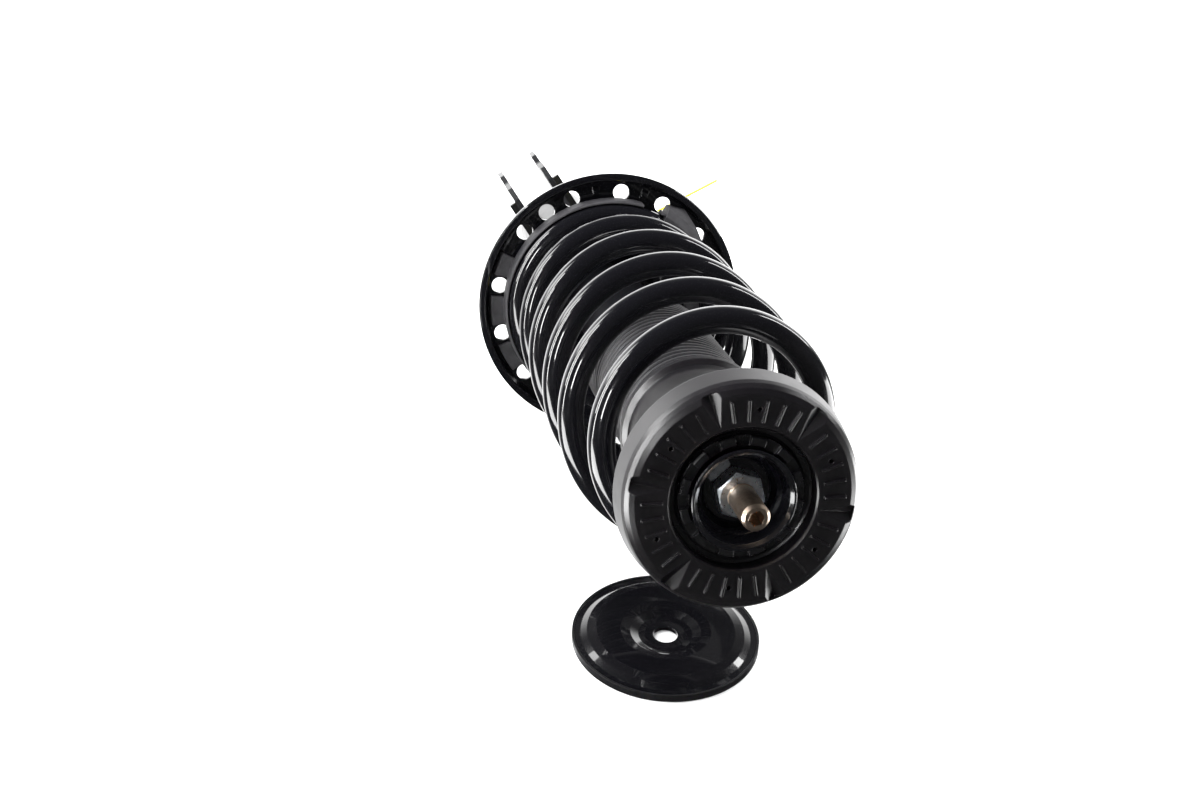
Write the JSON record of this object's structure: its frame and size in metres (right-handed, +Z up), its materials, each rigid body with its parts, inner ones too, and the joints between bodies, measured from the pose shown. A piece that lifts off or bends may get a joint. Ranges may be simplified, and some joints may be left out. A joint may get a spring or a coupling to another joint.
{
  "type": "suspension strut assembly",
  "caption": "Front suspension strut: damper, coil spring, boot, bearing and top mount, lying on a bench with its loose rebound plate.",
  "frame": {"origin": "centre of the whole part's footprint, on the bench that the strut and its loose plate lie on", "axes": "+Z up from the bench; +Y along the strut's length towards the knuckle bracket, so the top mount is at -Y, raised 13.6 degrees along the strut's axis; +X to the right seen from the mount end"},
  "size_m": [0.1786, 0.6458, 0.2298],
  "materials": {
    "black_steel": "semi-gloss black coating",
    "gloss_black_paint": "gloss black powder coat",
    "isolator_rubber": "matt grey-black rubber with fine ribs",
    "bright_steel": "machined",
    "bush_bronze": "sintered bronze",
    "seal_rubber": "matt",
    "moulded_black": "satin black glass-filled moulding",
    "yellow_nylon": "yellow nylon",
    "boot_rubber": "satin, pleated",
    "cage_nylon": "natural nylon",
    "mount_rubber": "satin black rubber",
    "zinc_steel": "bright zinc plated",
    "yellow_zinc_steel": "yellow zinc plated, slightly bronze",
    "bumper_foam": "microcellular foam"
  },
  "bodies": {
    "damper": {"outer_tube": "black_steel", "tube_base_cup": "black_steel", "knuckle_bracket": "black_steel", "stabiliser_bracket": "black_steel", "hose_bracket": "black_steel", "lower_spring_seat": "gloss_black_paint", "lower_isolator": "isolator_rubber", "coil_spring": "gloss_black_paint", "pressure_tube": "bright_steel", "base_valve": "bright_steel", "rod_guide": "bright_steel", "guide_bush": "bush_bronze", "oil_seal": "seal_rubber", "tube_top_cap": "moulded_black", "boot_collar": "moulded_black", "nylon_tie": "yellow_nylon"},
    "upper_seat": {"upper_isolator": "isolator_rubber", "upper_spring_seat": "moulded_black", "lower_race": "bright_steel", "dust_boot": "boot_rubber"},
    "bearing": {"ball_cage": "cage_nylon", "bearing_balls": "bright_steel"},
    "mount": {"mount_shell": "moulded_black", "mount_insulator": "mount_rubber", "mount_cup": "gloss_black_paint", "inner_sleeve": "bright_steel", "rod_nut": "zinc_steel", "upper_race": "bright_steel", "piston_rod": "yellow_zinc_steel", "piston": "bright_steel", "piston_band": "cage_nylon", "valve_discs": "zinc_steel", "piston_nut": "zinc_steel", "rebound_stop": "seal_rubber", "jounce_bumper": "bumper_foam", "bumper_cup": "black_steel"},
    "loose_plate": {"rebound_plate": "gloss_black_paint", "plate_rim": "seal_rubber"}
  },
  "joints": [
    {"name": "rod_slide", "type": "slide", "parent": "damper", "child": "upper_seat", "axis": [0, 0.972, -0.2351], "range_m": [0, 0.105], "stiffness_N_per_m": 27000, "springref_m": -0.05, "deforming": ["coil_spring", "dust_boot", "jounce_bumper"]},
    {"name": "mount_turn", "type": "hinge", "parent": "upper_seat", "child": "mount", "pos_m": [0, -0.27835, 0.16945], "axis": [0, -0.972, 0.2351], "continuous": true},
    {"name": "ball_orbit", "type": "hinge", "parent": "upper_seat", "child": "bearing", "pos_m": [0, -0.27835, 0.16945], "axis": [0, -0.972, 0.2351], "continuous": true},
    {"name": "plate_slide", "type": "slide", "parent": "damper", "child": "loose_plate", "axis": [0, -1, 0], "range_m": [0, 0.15]}
  ],
  "couplings": [
    {"joint": "ball_orbit", "follows": "mount_turn", "ratio": 0.5}
  ]
}
